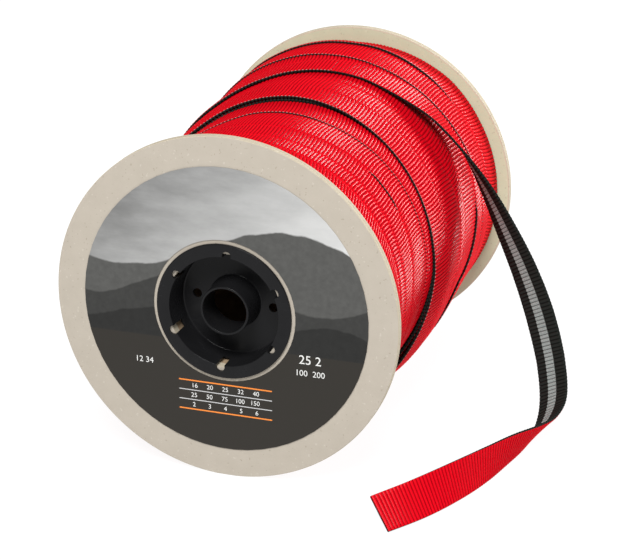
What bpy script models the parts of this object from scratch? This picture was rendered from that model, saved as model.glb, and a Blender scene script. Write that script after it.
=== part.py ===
"""A roll of flat webbing on a board spool that stands on its two flange rims.

The webbing is red with a black back. It is wound between two round flange boards, on a card core whose
ends hold black moulded hub inserts. The last turn leaves the drum at the upper right, twists as it falls,
and lies on its edge on the surface beside the spool.

Sizes are in millimetres and become metres as each mesh is made. While a piece is made, +X is right of the
spool's axis, +Y is behind the outer face of the front flange and Z = 0 is the surface. `around` is an angle
about the axis in degrees, 0 at the top and 90 at the right. At the end one empty carries every piece, so
that the middle of the footprint lies at the origin.
"""
import bmesh
import bpy
import numpy as np
from mathutils import Matrix

MM = 0.001
GAP = 0.3
CREASE_DEG = 35

# Spool
SPOOL_LENGTH = 283.0
FLANGE_R = 115.0
FLANGE_T = 6.0
FLANGE_EDGE = 0.5
FLANGE_SIDES = 60
AXIS_Z = FLANGE_R * np.cos(np.pi / FLANGE_SIDES)
BOARD_HOLE_R = 38.8
CORE_INNER_R = 39.5
CORE_OUTER_R = 43.5

# Printed ring on the front flange
LABEL_INNER_R = 47.8
LABEL_OUTER_R = 95.7
LABEL_T = 0.3

# Hub insert: a rim on the board, a dish through it, and a boss whose bore takes a spindle
HUB_RIM_R = 45.4
HUB_RIM_PROUD = 2.0
HUB_RIM_CHAMFER = 0.4
HUB_WALL = 1.5
DISH_MOUTH_R = 36.8
DISH_FLOOR_R = 36.0
DISH_DEPTH = 19.5
BOSS_MOUTH_R = 16.3
BOSS_BASE_R = 17.4
BORE_R = 14.8
NOTCH_R = 3.0
NOTCH_CENTRE_R = 38.0
NOTCH_DEPTH = 12.0
NOTCHES = 6
HUB_TURN_DEG = 4
FLOOR_HOLE_R = 3.1
FLOOR_HOLE_AT = 26.0
DRILL_PAST = 3.0
HUB_SIDES = 48
HOLE_SIDES = 14

# Webbing
WEB_W = 25.0
WEB_T = 2.0
WINDING_ENDS = (FLANGE_T + GAP, SPOOL_LENGTH - FLANGE_T - GAP)
STEP_RUN = 0.3
AROUND_STEP = 5
LAST_TURN_ENDS = 8.0
LAST_TURN_GONE = 8.4

# The wound drum's radius around the axis, at each place along it where the surface steps or bends
DRUM_COLUMNS = ("around", "front", "second_foot", "second_top", "slack_foot", "slack_front", "slack_back",
                "last_foot", "last_back", "fifth_foot", "fifth_top", "sixth_foot", "sixth_top", "rear")
DRUM = (
    (-180, 100.0, 101.0, 101.5, 102.0, 106.0, 108.5, 109.0, 109.0, 108.5, 109.0, 109.0, 109.5, 108.5),
    (-90, 98.0, 98.8, 99.4, 99.8, 103.5, 106.0, 107.0, 108.5, 109.0, 110.5, 110.0, 110.3, 109.5),
    (-39, 97.0, 98.2, 98.8, 99.5, 102.3, 105.0, 105.6, 107.2, 110.0, 111.0, 110.8, 110.9, 110.2),
    (0, 101.0, 101.6, 102.2, 102.6, 106.3, 106.9, 107.0, 107.2, 107.9, 108.8, 108.2, 108.8, 104.4),
    (40, 104.0, 104.8, 105.4, 105.7, 108.0, 109.0, 107.8, 108.0, 109.3, 110.2, 109.4, 109.9, 107.8),
    (60, 104.5, 105.1, 105.7, 106.0, 108.0, 109.4, 109.0, 109.0, 109.3, 110.2, 109.3, 109.6, 106.6),
    (90, 104.0, 104.5, 104.9, 105.0, 108.0, 110.5, 110.2, 108.8, 108.8, 109.3, 108.9, 108.9, 106.4),
    (123, 102.5, 102.7, 102.9, 103.0, 108.4, 111.8, 112.0, 109.4, 107.6, 107.6, 107.5, 107.5, 107.0),
    (150, 101.0, 101.5, 102.0, 102.5, 107.0, 110.5, 111.0, 109.5, 108.0, 108.0, 108.0, 108.0, 107.5),
    (180, 100.0, 101.0, 101.5, 102.0, 106.0, 108.5, 109.0, 109.0, 108.5, 109.0, 109.0, 109.5, 108.5),
)

# Front edges of the turns that stand out: how far behind the front board each runs
EDGE_COLUMNS = ("around", "behind")
SECOND_TURN = ((-180, 86), (-39, 86), (-24, 90), (-10, 100.5), (0, 102), (85, 101.5), (105, 92), (123, 84),
               (180, 86))
SLACK_TURN = ((-180, 100), (-90, 102), (-39, 108), (-24, 122), (-12, 125), (0, 125.5), (10, 125.4), (20, 123.7),
              (30, 121.2), (45, 117.5), (60, 113.8), (80, 108.9), (90, 108), (100, 103.5), (123, 92), (150, 94),
              (180, 100))
FIFTH_TURN = ((-180, 222), (-39, 221), (-10, 224), (0, 223.3), (20, 219.3), (40, 217.8), (60, 218.7), (80, 224),
              (120, 228), (180, 222))
SIXTH_TURN = ((-180, 258), (-39, 256), (-10, 258.7), (10, 256.8), (30, 251), (45, 248), (60, 248.2), (80, 245.5),
              (120, 250), (180, 258))

# The last turn, which ends where the loose end begins: its front edge, and how far it stands proud of the drum
LAST_COLUMNS = ("around", "behind", "proud")
LAST_TURN = ((-180, 150, 0.0), (-90, 148, 0.3), (-39, 152, 0.5), (-15, 173.5, 1.8), (0, 181.5, 2.3),
             (LAST_TURN_ENDS, 184.5, 2.3), (LAST_TURN_GONE, 184.5, 0.0), (60, 178, 0.0), (123, 150, 0.0),
             (180, 150, 0.0))

# The loose end, from the drum to its cut: the middle of its width, the height of its lowest corner, and
# which way its front edge lies from its middle, as a heading (0 is right, -90 is forward) and a rise
LOOSE_COLUMNS = ("right", "behind", "low", "heading", "rise")
LOOSE_END = (
    (18.5, 199.5, 221.3, -94, -2),
    (41.0, 197.5, 215.7, -95, -1),
    (63.5, 195.0, 206.0, -95, 2),
    (85.0, 192.0, 189.5, -87, 12),
    (104.5, 188.5, 167.0, -77, 22),
    (122.0, 183.5, 143.0, -60, 28),
    (138.5, 177.0, 117.0, -43, 31),
    (154.5, 170.0, 90.0, -30, 31),
    (168.0, 161.5, 63.0, -22, 30),
    (178.5, 150.5, 36.5, -22, 30),
    (184.5, 135.0, 15.0, -22, 32),
    (184.0, 115.0, 4.0, -22, 44),
    (179.0, 94.0, 0.5, -21, 59),
    (171.0, 70.0, 0.0, -22, 76),
    (163.0, 47.0, 0.0, -22, 90),
    (153.5, 24.0, 0.0, -23, 103),
    (142.0, 1.0, 0.0, -25, 115),
    (130.0, -18.5, 0.0, -31, 126),
    (115.5, -38.0, 0.0, -38, 136),
)
LOOSE_STEPS = 4
LOOSE_PASSES = 6

COLOURS = {
    "board": ((0.62, 0.56, 0.46), 0.85),
    "print": ((0.16, 0.15, 0.14), 0.55),
    "moulding": ((0.012, 0.012, 0.013), 0.35),
    "card": ((0.36, 0.27, 0.18), 0.9),
    "webbing": ((0.60, 0.010, 0.025), 0.65),
}


def material(name):
    """A Principled material in the named colour."""
    colour, roughness = COLOURS[name]
    made = bpy.data.materials.get(name)
    if made is None:
        made = bpy.data.materials.new(name)
        made.use_nodes = True
        shader = made.node_tree.nodes["Principled BSDF"]
        shader.inputs["Base Color"].default_value = (*colour, 1.0)
        shader.inputs["Roughness"].default_value = roughness
        shader.inputs["Metallic"].default_value = 0.0
    return made


def add_object(name, bm, look, carrier):
    """One named object from a bmesh in millimetres, its faces turned outwards."""
    bmesh.ops.recalc_face_normals(bm, faces=bm.faces)
    bmesh.ops.scale(bm, vec=(MM, MM, MM), verts=bm.verts)
    mesh = bpy.data.meshes.new(name)
    bm.to_mesh(mesh)
    bm.free()
    mesh.shade_smooth()
    mesh.set_sharp_from_angle(angle=np.radians(CREASE_DEG))
    mesh.materials.append(material(look))
    made = bpy.data.objects.new(name, mesh)
    made.parent = carrier
    bpy.context.scene.collection.objects.link(made)
    return made


def turned(profile, sides):
    """A closed (radius, behind) outline spun about the spool's axis, with a flat facet at the bottom."""
    bm = bmesh.new()
    half = np.pi / sides
    verts = [bm.verts.new((r * np.sin(half), y, AXIS_Z + r * np.cos(half))) for r, y in profile]
    edges = [bm.edges.new((a, b)) for a, b in zip(verts, verts[1:] + verts[:1])]
    bmesh.ops.spin(bm, geom=verts + edges, cent=(0, 0, AXIS_Z), axis=(0, 1, 0), angle=2 * np.pi, steps=sides,
                   use_merge=True)
    return bm


def flange(name, outer_face, inward, carrier):
    """A round board with a hub hole; `inward` is +1 or -1 along Y, from its outer face to the drum."""
    y0, y1 = outer_face, outer_face + inward * FLANGE_T
    edge = inward * FLANGE_EDGE
    profile = [(BOARD_HOLE_R, y0), (FLANGE_R - FLANGE_EDGE, y0), (FLANGE_R, y0 + edge), (FLANGE_R, y1 - edge),
               (FLANGE_R - FLANGE_EDGE, y1), (BOARD_HOLE_R, y1)]
    add_object(name, turned(profile, FLANGE_SIDES), "board", carrier)


def label(carrier):
    """The printed ring, a thin disc just off the front board."""
    profile = [(LABEL_INNER_R, -GAP), (LABEL_OUTER_R, -GAP), (LABEL_OUTER_R, -GAP - LABEL_T),
               (LABEL_INNER_R, -GAP - LABEL_T)]
    add_object("label", turned(profile, FLANGE_SIDES), "print", carrier)


def core_tube(carrier):
    """The card tube that the webbing is wound on, from board to board."""
    y0, y1 = WINDING_ENDS
    profile = [(CORE_INNER_R, y0), (CORE_OUTER_R, y0), (CORE_OUTER_R, y1), (CORE_INNER_R, y1)]
    add_object("core_tube", turned(profile, HUB_SIDES), "card", carrier)


def pegs(places, y0, y1, radius, bm):
    """Round cutters along Y at (right, up) places from the axis, added to a bmesh in millimetres."""
    for right, up in places:
        place = Matrix.Translation((right, (y0 + y1) / 2, AXIS_Z + up)) @ Matrix.Rotation(np.pi / 2, 4, "X")
        bmesh.ops.create_cone(bm, cap_ends=True, segments=HOLE_SIDES, radius1=radius, radius2=radius,
                              depth=abs(y1 - y0), matrix=place)


def hub(name, outer_face, inward, carrier):
    """The moulded insert, turned, then notched at its dish's mouth and drilled through its floor."""
    rim, back = outer_face - inward * HUB_RIM_PROUD, outer_face - inward * GAP
    floor = outer_face + inward * DISH_DEPTH
    under = floor + inward * HUB_WALL
    profile = [
        (DISH_MOUTH_R, rim), (HUB_RIM_R - HUB_RIM_CHAMFER, rim), (HUB_RIM_R, rim + inward * HUB_RIM_CHAMFER),
        (HUB_RIM_R, back),
        (DISH_MOUTH_R + HUB_WALL, back), (DISH_FLOOR_R + HUB_WALL, under),
        (BORE_R, under), (BORE_R, outer_face), (BOSS_MOUTH_R, outer_face), (BOSS_BASE_R, floor),
        (DISH_FLOOR_R, floor),
    ]
    made = add_object(name, turned(profile, HUB_SIDES), "moulding", carrier)
    turn = np.radians(HUB_TURN_DEG)
    angles = turn + 2 * np.pi * np.arange(NOTCHES) / NOTCHES
    hole_right, hole_down = FLOOR_HOLE_AT * np.cos(turn), FLOOR_HOLE_AT * np.sin(turn)
    bm = bmesh.new()
    pegs([(NOTCH_CENTRE_R * np.sin(a), NOTCH_CENTRE_R * np.cos(a)) for a in angles],
         outer_face - inward * 2 * HUB_RIM_PROUD, outer_face + inward * NOTCH_DEPTH, NOTCH_R, bm)
    pegs([(-hole_right, hole_down), (hole_right, -hole_down)], floor - inward * DRILL_PAST,
         under + inward * DRILL_PAST, FLOOR_HOLE_R, bm)
    cutter = add_object(name + "_cutter", bm, "moulding", carrier)
    cutter.hide_render = True
    cutter.display_type = "WIRE"
    cut = made.modifiers.new("notches and holes", "BOOLEAN")
    cut.operation = "DIFFERENCE"
    cut.solver = "EXACT"
    cut.object = cutter


def column(table, columns, name, at):
    """A table's named column at the given angles, straight between its rows."""
    rows = np.array(table, float)
    return np.interp(at, rows[:, 0], rows[:, columns.index(name)])


def winding(carrier):
    """The wound webbing as one drum, each standing-out turn a step up at its front edge.

    Every angle has the same outline points from the front end to the back end, so the drum is a grid joined
    round the axis and closed by the cylinder that the core fills.
    """
    around = np.unique(np.r_[np.arange(-180, 180, AROUND_STEP), LAST_TURN_ENDS, LAST_TURN_GONE])
    radius = {name: column(DRUM, DRUM_COLUMNS, name, around) for name in DRUM_COLUMNS[1:]}
    second, slack, fifth, sixth = (column(turn, EDGE_COLUMNS, "behind", around)
                                   for turn in (SECOND_TURN, SLACK_TURN, FIFTH_TURN, SIXTH_TURN))
    last = column(LAST_TURN, LAST_COLUMNS, "behind", around)
    last_up = column(LAST_TURN, LAST_COLUMNS, "proud", around)
    start, end = (np.full_like(around, y) for y in WINDING_ENDS)
    inner_r = np.full_like(around, (CORE_OUTER_R + GAP) / np.cos(np.radians(AROUND_STEP / 2)))
    outline = [
        (start, inner_r), (start, radius["front"]),
        (second, radius["second_foot"]), (second + STEP_RUN, radius["second_top"]),
        (slack, radius["slack_foot"]), (slack + STEP_RUN, radius["slack_front"]),
        (slack + WEB_W, radius["slack_back"]),
        (last, radius["last_foot"]), (last + STEP_RUN, radius["last_foot"] + last_up),
        (last + WEB_W, radius["last_back"] + last_up), (last + WEB_W + STEP_RUN, radius["last_back"]),
        (fifth, radius["fifth_foot"]), (fifth + STEP_RUN, radius["fifth_top"]),
        (sixth, radius["sixth_foot"]), (sixth + STEP_RUN, radius["sixth_top"]),
        (end, radius["rear"]), (end, inner_r),
    ]
    turn = np.radians(around)
    bm = bmesh.new()
    rings = [[bm.verts.new((r[i] * np.sin(turn[i]), y[i], AXIS_Z + r[i] * np.cos(turn[i])))
              for i in range(len(around))] for y, r in outline]
    for here, after in zip(rings, rings[1:] + rings[:1]):
        for i in range(len(around)):
            j = (i + 1) % len(around)
            bm.faces.new((here[i], here[j], after[j], after[i]))
    add_object("winding", bm, "webbing", carrier)


def smooth_rows(table, steps):
    """Rows between a table's rows, on a Catmull-Rom curve through them."""
    rows = np.array(table, float)
    ends = np.vstack([2 * rows[0] - rows[1], rows, 2 * rows[-1] - rows[-2]])
    out = []
    for p0, p1, p2, p3 in zip(ends, ends[1:], ends[2:], ends[3:]):
        t = np.linspace(0, 1, steps, endpoint=False)[:, None]
        out.append(0.5 * (2 * p1 + (p2 - p0) * t + (2 * p0 - 5 * p1 + 4 * p2 - p3) * t**2
                          + (3 * p1 - p0 - 3 * p2 + p3) * t**3))
    return np.vstack(out + [rows[-1:]])


def loose_end_sections():
    """The strip's four corners at each station, square to its run, the lowest at its stated height."""
    row = dict(zip(LOOSE_COLUMNS, smooth_rows(LOOSE_END, LOOSE_STEPS).T))
    low = np.maximum(row["low"], 0.0)
    heading, rise = np.radians(row["heading"]), np.radians(row["rise"])
    middle = np.stack([row["right"], row["behind"], low + WEB_W / 2 * np.abs(np.sin(rise))], axis=1)
    wanted = np.stack([np.cos(rise) * np.cos(heading), np.cos(rise) * np.sin(heading), np.sin(rise)], axis=1)
    for _ in range(LOOSE_PASSES):
        run = np.gradient(middle, axis=0)
        run /= np.linalg.norm(run, axis=1, keepdims=True)
        across = wanted - (wanted * run).sum(axis=1, keepdims=True) * run
        across /= np.linalg.norm(across, axis=1, keepdims=True)
        through = np.cross(run, across)
        corners = np.stack([middle + s * across * WEB_W / 2 + t * through * WEB_T / 2
                            for s, t in ((1, 1), (1, -1), (-1, -1), (-1, 1))], axis=1)
        middle[:, 2] += low - corners[:, :, 2].min(axis=1)
    return corners


def loose_end(carrier):
    """The loose end as one sheet, its sections joined in a row and closed at both ends."""
    corners = loose_end_sections()
    bm = bmesh.new()
    rings = [[bm.verts.new(p) for p in section] for section in corners]
    for here, after in zip(rings, rings[1:]):
        for i in range(4):
            j = (i + 1) % 4
            bm.faces.new((here[i], here[j], after[j], after[i]))
    bm.faces.new(rings[0])
    bm.faces.new(rings[-1])
    add_object("loose_end", bm, "webbing", carrier)
    return corners.reshape(-1, 3)


for old in list(bpy.data.objects):
    bpy.data.objects.remove(old, do_unlink=True)

spool = bpy.data.objects.new("spool_axis_foot", None)
bpy.context.scene.collection.objects.link(spool)
flange("flange_front", 0.0, 1, spool)
flange("flange_rear", SPOOL_LENGTH, -1, spool)
label(spool)
core_tube(spool)
hub("hub_front", 0.0, 1, spool)
hub("hub_rear", SPOOL_LENGTH, -1, spool)
winding(spool)
strip = loose_end(spool)

left, right = -FLANGE_R, strip[:, 0].max()
front, rear = strip[:, 1].min(), SPOOL_LENGTH + HUB_RIM_PROUD
spool.location = (-(left + right) / 2 * MM, -(front + rear) / 2 * MM, 0.0)
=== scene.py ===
"""A roll of red and black flat webbing on a board spool, with its loose end laid down beside it.

Sizes are in millimetres where they are worked out, and become metres as each mesh is made. `around` is an
angle about the spool's axis in degrees, 0 at the top and 90 at the right. `behind` is the distance behind
the outer face of the front board.
"""

import bmesh
import bpy
import numpy as np
from mathutils import Matrix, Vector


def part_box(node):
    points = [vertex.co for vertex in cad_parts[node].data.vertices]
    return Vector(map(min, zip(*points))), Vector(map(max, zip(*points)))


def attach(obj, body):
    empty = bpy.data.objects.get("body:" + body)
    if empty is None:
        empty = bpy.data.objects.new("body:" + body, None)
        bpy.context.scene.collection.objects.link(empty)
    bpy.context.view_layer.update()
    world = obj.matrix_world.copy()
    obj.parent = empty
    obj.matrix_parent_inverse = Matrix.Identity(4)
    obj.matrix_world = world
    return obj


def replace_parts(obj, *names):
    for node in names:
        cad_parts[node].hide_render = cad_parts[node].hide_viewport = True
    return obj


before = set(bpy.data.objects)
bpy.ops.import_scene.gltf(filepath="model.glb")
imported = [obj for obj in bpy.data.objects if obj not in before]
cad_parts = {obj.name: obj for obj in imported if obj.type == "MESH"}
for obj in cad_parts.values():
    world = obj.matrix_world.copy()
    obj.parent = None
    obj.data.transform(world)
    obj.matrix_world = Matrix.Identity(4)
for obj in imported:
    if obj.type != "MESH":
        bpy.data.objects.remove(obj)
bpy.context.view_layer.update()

# Camera
# A long lens in front of the spool, to its right and a little above it, where the photo was taken from. The
# colours are shown plainly, with no film look.
camera = bpy.data.objects.new("camera", bpy.data.cameras.new("camera"))
camera.data.sensor_width = 36.0
camera.data.lens = 125.7
camera.location = (0.4300, -1.3197, 0.6378)
camera.rotation_euler = np.radians((68.69, 0.0, 18.86))
bpy.context.scene.collection.objects.link(camera)
bpy.context.scene.camera = camera
bpy.context.scene.view_settings.view_transform = "Standard"

# Floor and light
# A table of white paper that glows a little, in a pale room. The main light is large and soft, from above and
# in front, and a softbox behind the right side lights the ribs from the back.
FLOOR_HALF = 6.0
floor_corners = [(x * FLOOR_HALF, y * FLOOR_HALF, 0.0) for x, y in ((-1, -1), (1, -1), (1, 1), (-1, 1))]
floor_mesh = bpy.data.meshes.new("floor")
floor_mesh.from_pydata(floor_corners, [], [(0, 1, 2, 3)])
floor = bpy.data.objects.new("floor", floor_mesh)
bpy.context.scene.collection.objects.link(floor)
paper = bpy.data.materials.new("floor paper")
paper.use_nodes = True
paper_shader = paper.node_tree.nodes["Principled BSDF"]
paper_shader.inputs["Base Color"].default_value = (0.10, 0.10, 0.10, 1.0)
paper_shader.inputs["Roughness"].default_value = 0.9
paper_shader.inputs["Specular IOR Level"].default_value = 0.1
paper_shader.inputs["Emission Color"].default_value = (1.0, 1.0, 1.0, 1.0)
paper_shader.inputs["Emission Strength"].default_value = 0.93
floor_mesh.materials.append(paper)

world = bpy.data.worlds.new("studio")
world.use_nodes = True
room = world.node_tree.nodes["Background"]
room.inputs["Color"].default_value = (1.0, 1.0, 1.0, 1.0)
room.inputs["Strength"].default_value = 0.20
bpy.context.scene.world = world


def aimed(lamp, place, target=(0.0, 0.0, 0.1)):
    """Puts a lamp at a place, its beam turned towards the target."""
    light = bpy.data.objects.new(lamp.name, lamp)
    light.location = place
    toward = np.array(target) - np.array(place)
    light.rotation_euler = (np.arctan2(np.hypot(toward[0], toward[1]), -toward[2]), 0.0,
                            np.arctan2(-toward[0], toward[1]))
    bpy.context.scene.collection.objects.link(light)


main_lamp = bpy.data.lights.new("main light", "SUN")
main_lamp.angle = np.radians(28)
main_lamp.energy = 3.7
aimed(main_lamp, (0.3, -1.9, 2.5))
softbox = bpy.data.lights.new("softbox behind right", "AREA")
softbox.size = 0.6
softbox.energy = 56.0
aimed(softbox, (0.90, 1.85, 0.60))

# Round boards
# Two discs of grey board, pressed from several plies, with a hole for the hub. The front one carries the
# printed ring. Each is held by the rim of its hub insert, and stands on a small flat spot.
MM = 0.001
front_low, front_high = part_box("flange_front")
rear_low, rear_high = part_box("flange_rear")
AXIS_X = (front_low.x + front_high.x) / 2 / MM
AXIS_Z = (front_low.z + front_high.z) / 2 / MM
FRONT_Y = front_low.y / MM
SPOOL_LENGTH = (rear_high.y - front_low.y) / MM
BOARD_R = 115.0
BOARD_T = 6.0
BOARD_HOLE_R = 38.8
BOARD_SIDES = 240
CRISP_ARRIS = np.radians(32)


def mesh_object(name, points, faces, corner_uv=None, face_look=None, looks=()):
    """An object from points in millimetres about the spool's axis, quads as rows of four, and a UV for each
    corner. Its place is in its mesh."""
    mesh = bpy.data.meshes.new(name)
    place = (np.asarray(points, float) + (AXIS_X, FRONT_Y, AXIS_Z)) * MM
    faces = np.asarray(faces, np.int32)
    mesh.vertices.add(len(place))
    mesh.vertices.foreach_set("co", place.ravel())
    mesh.loops.add(faces.size)
    mesh.loops.foreach_set("vertex_index", faces.ravel())
    mesh.polygons.add(len(faces))
    mesh.polygons.foreach_set("loop_start", np.arange(len(faces), dtype=np.int32) * faces.shape[1])
    if corner_uv is not None:
        mesh.uv_layers.new(name="UVMap").uv.foreach_set("vector", np.asarray(corner_uv, float).ravel())
    for look in looks:
        mesh.materials.append(look)
    if face_look is not None:
        mesh.polygons.foreach_set("material_index", np.asarray(face_look, np.int32))
    mesh.update(calc_edges=True)
    mesh.validate()
    mesh.shade_smooth()
    made = bpy.data.objects.new(name, mesh)
    bpy.context.scene.collection.objects.link(made)
    return made


def turned(name, profile, sides, looks, look_of=None, flat_spot=False):
    """A closed profile of (radius, behind) turned about the axis: a point is radius times (sin, cos) of its
    angle. With a flat spot, the radius is cut where it would go under the floor."""
    profile = np.array(profile, float)
    a = np.linspace(0, 2 * np.pi, sides, endpoint=False)[:, None]
    r = np.broadcast_to(profile[:, 0], (sides, len(profile))).copy()
    if flat_spot:
        lower_part = 0.5
        down = np.maximum(-np.cos(a), lower_part)
        r = np.where(down > lower_part, np.minimum(r, AXIS_Z / down), r)
    points = np.stack([r * np.sin(a), np.broadcast_to(profile[:, 1], r.shape), r * np.cos(a)], axis=-1)
    n = len(profile)
    i, j = np.meshgrid(np.arange(sides), np.arange(n), indexing="ij")
    i2, j2 = (i + 1) % sides, (j + 1) % n
    faces = np.stack([i * n + j, i2 * n + j, i2 * n + j2, i * n + j2], axis=-1).reshape(-1, 4)
    ends = profile[np.r_[1:n, 0]]
    area = np.sum(profile[:, 0] * ends[:, 1] - ends[:, 0] * profile[:, 1])
    if area > 0:
        faces = faces[:, ::-1]
    face_look = None if look_of is None else np.tile(np.asarray(look_of), sides)
    made = mesh_object(name, points.reshape(-1, 3), faces, face_look=face_look, looks=looks)
    made.data.set_sharp_from_angle(angle=CRISP_ARRIS)
    return made


def node_material(name, roughness, specular=0.5):
    """A Principled material of a roughness and specular level, with its tree and its shader."""
    made = bpy.data.materials.new(name)
    made.use_nodes = True
    tree = made.node_tree
    shader = tree.nodes["Principled BSDF"]
    shader.inputs["Roughness"].default_value = roughness
    shader.inputs["Specular IOR Level"].default_value = specular
    return made, tree, shader


def add_node(tree, kind, links=(), **settings):
    """A node with its settings, and its inputs by name or number: a socket is linked, a value is set."""
    node = tree.nodes.new(kind)
    for key, value in settings.items():
        setattr(node, key, value)
    for key, value in dict(links).items():
        if isinstance(value, bpy.types.NodeSocket):
            tree.links.new(value, node.inputs[key])
        else:
            node.inputs[key].default_value = value
    return node


def math_node(tree, operation, a, b=0.0, c=0.0, clamp=False):
    """One Math node's output."""
    links = {0: a, 1: b, 2: c}
    return add_node(tree, "ShaderNodeMath", links, operation=operation, use_clamp=clamp).outputs[0]


def moved(tree, operation, place, by):
    """A place with a vector added to it, or with its axes multiplied by one."""
    return add_node(tree, "ShaderNodeVectorMath", {0: place, 1: by}, operation=operation).outputs[0]


def mix_colours(tree, factor, a, b):
    """A colour from a to b by a factor: a times one less the factor, plus b times the factor."""
    node = tree.nodes.new("ShaderNodeMix")
    node.data_type = "RGBA"
    for socket, value in ((node.inputs[0], factor), (node.inputs[6], a), (node.inputs[7], b)):
        if isinstance(value, bpy.types.NodeSocket):
            tree.links.new(value, socket)
        else:
            socket.default_value = value
    return node.outputs[2]


def noise(tree, place, scale, detail=2.0, rough=0.5):
    """Noise texture's value at a place."""
    return add_node(tree, "ShaderNodeTexNoise", {"Vector": place, "Scale": scale, "Detail": detail,
                                                 "Roughness": rough}).outputs[0]


def ramp(tree, value, low, high, to_low=0.0, to_high=1.0):
    """A value from low to high, remapped and clamped."""
    return add_node(tree, "ShaderNodeMapRange", {0: value, 1: low, 2: high, 3: to_low, 4: to_high},
                    clamp=True).outputs[0]


def colour_and_bump(tree, shader, colour, height, strength, distance):
    """Links a colour to the shader, and a height through a Bump node with its strength and its distance."""
    bump = add_node(tree, "ShaderNodeBump", {"Strength": strength, "Distance": distance, "Height": height})
    tree.links.new(colour, shader.inputs["Base Color"])
    tree.links.new(bump.outputs[0], shader.inputs["Normal"])


# Specks in the board, dark and pale: noise scale, where the noise is read, how strongly they show, colour
SPECKS = (
    (520.0, (0.0, 0.0, 0.0), 0.30, (0.20, 0.16, 0.11, 1.0)),
    (430.0, (0.31, 0.17, 0.23), 0.16, (0.80, 0.77, 0.70, 1.0)),
)
SPECK_FROM = 0.700
SPECK_FULL = 0.730


def board_material(name, light, dark, speck_share):
    """Pressed grey board: soft fibre clouds, dark and pale specks, and a faint tooth."""
    made, tree, shader = node_material(name, 0.88, 0.06)
    place = add_node(tree, "ShaderNodeTexCoord").outputs["Object"]
    colour = mix_colours(tree, noise(tree, place, 90.0, 4.0, 0.6), (*dark, 1.0), (*light, 1.0))
    for scale, shift, strength, rgba in SPECKS:
        speck_noise = noise(tree, moved(tree, "ADD", place, shift), scale, 1.0)
        specks = ramp(tree, speck_noise, SPECK_FROM - speck_share, SPECK_FULL)
        colour = mix_colours(tree, math_node(tree, "MULTIPLY", specks, strength), colour, rgba)
    colour_and_bump(tree, shader, colour, noise(tree, place, 1400.0, 3.0, 0.7), 0.25, 0.0002)
    return made


board_face = board_material("grey board face", (0.480, 0.432, 0.366), (0.415, 0.371, 0.310), 0.0)
# The inner faces get a lighter, greener copy of the board's colour: painted light, against the shade between
# the boards and the red light the webbing throws on them.
board_inside_painted_lighter = board_material("grey board inner face painted lighter", (0.540, 0.575, 0.410), (0.470, 0.505, 0.360), 0.0)
board_rim = board_material("grey board cut edge", (0.560, 0.500, 0.390), (0.460, 0.400, 0.300), 0.02)
board_groove = board_material("grey board ply line", (0.220, 0.230, 0.200), (0.140, 0.150, 0.130), 0.0)

# A board's section: how far behind its outer face, radius, and the finish from there on
FACE, INNER_FACE, RIM, PLY_LINE = range(4)
BOARD_SECTION = (
    (0.0, BOARD_HOLE_R, FACE),
    (0.0, BOARD_R - 0.9, FACE),
    (0.15, BOARD_R - 0.35, RIM),
    (0.6, BOARD_R, RIM),
    (2.5, BOARD_R - 0.05, RIM),
    (2.75, BOARD_R - 0.45, PLY_LINE),
    (3.15, BOARD_R - 0.45, RIM),
    (3.4, BOARD_R - 0.05, RIM),
    (5.4, BOARD_R, RIM),
    (5.85, BOARD_R - 0.35, RIM),
    (BOARD_T, BOARD_R - 0.9, INNER_FACE),
    (BOARD_T, BOARD_HOLE_R, RIM),
)


def board(name, outer_face, inward):
    """A board's section turned: its faces, soft crushed arrises, and a cut rim with a line between plies."""
    profile = [(r, outer_face + inward * behind) for behind, r, _ in BOARD_SECTION]
    made = turned(name, profile, BOARD_SIDES, (board_face, board_inside_painted_lighter, board_rim, board_groove),
                  [look for _, _, look in BOARD_SECTION], flat_spot=True)
    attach(made, "root")
    return made


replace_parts(board("board_front", 0.0, 1), "flange_front")
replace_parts(board("board_rear", SPOOL_LENGTH, -1), "flange_rear")

# Printed ring
# A paper ring glued on the front board, printed in greys: a pale sky over soft dark dunes, and a dark lower
# half with fine rules and plain numbers. `right` and `up` are places on it as shares of its radius.
LABEL_OUTER_R = 95.7
label_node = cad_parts["label"]
print_look, tree, shader = node_material("printed paper", 0.42, 0.2)
place = add_node(tree, "ShaderNodeTexCoord").outputs["Object"]
split = add_node(tree, "ShaderNodeSeparateXYZ", {0: place})
from_axis_x = math_node(tree, "SUBTRACT", split.outputs[0], AXIS_X * MM)
from_axis_z = math_node(tree, "SUBTRACT", split.outputs[2], AXIS_Z * MM)
right = math_node(tree, "DIVIDE", from_axis_x, LABEL_OUTER_R * MM)
up = math_node(tree, "DIVIDE", from_axis_z, LABEL_OUTER_R * MM)
to_right = ramp(tree, right, -1.0, 0.8, 0.00, 0.62)
to_middle = ramp(tree, up, 0.95, 0.0, 0.0, 0.34)
cloud_noise = noise(tree, moved(tree, "MULTIPLY", place, (1.0, 1.0, 3.0)), 26.0, 4.0, 0.6)
clouds = ramp(tree, cloud_noise, 0.35, 0.75, 0.0, 0.16)
sky_value = math_node(tree, "ADD", math_node(tree, "ADD", to_right, to_middle), clouds, clamp=True)
colour = mix_colours(tree, sky_value, (0.050, 0.050, 0.048, 1.0), (0.68, 0.68, 0.67, 1.0))

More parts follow.
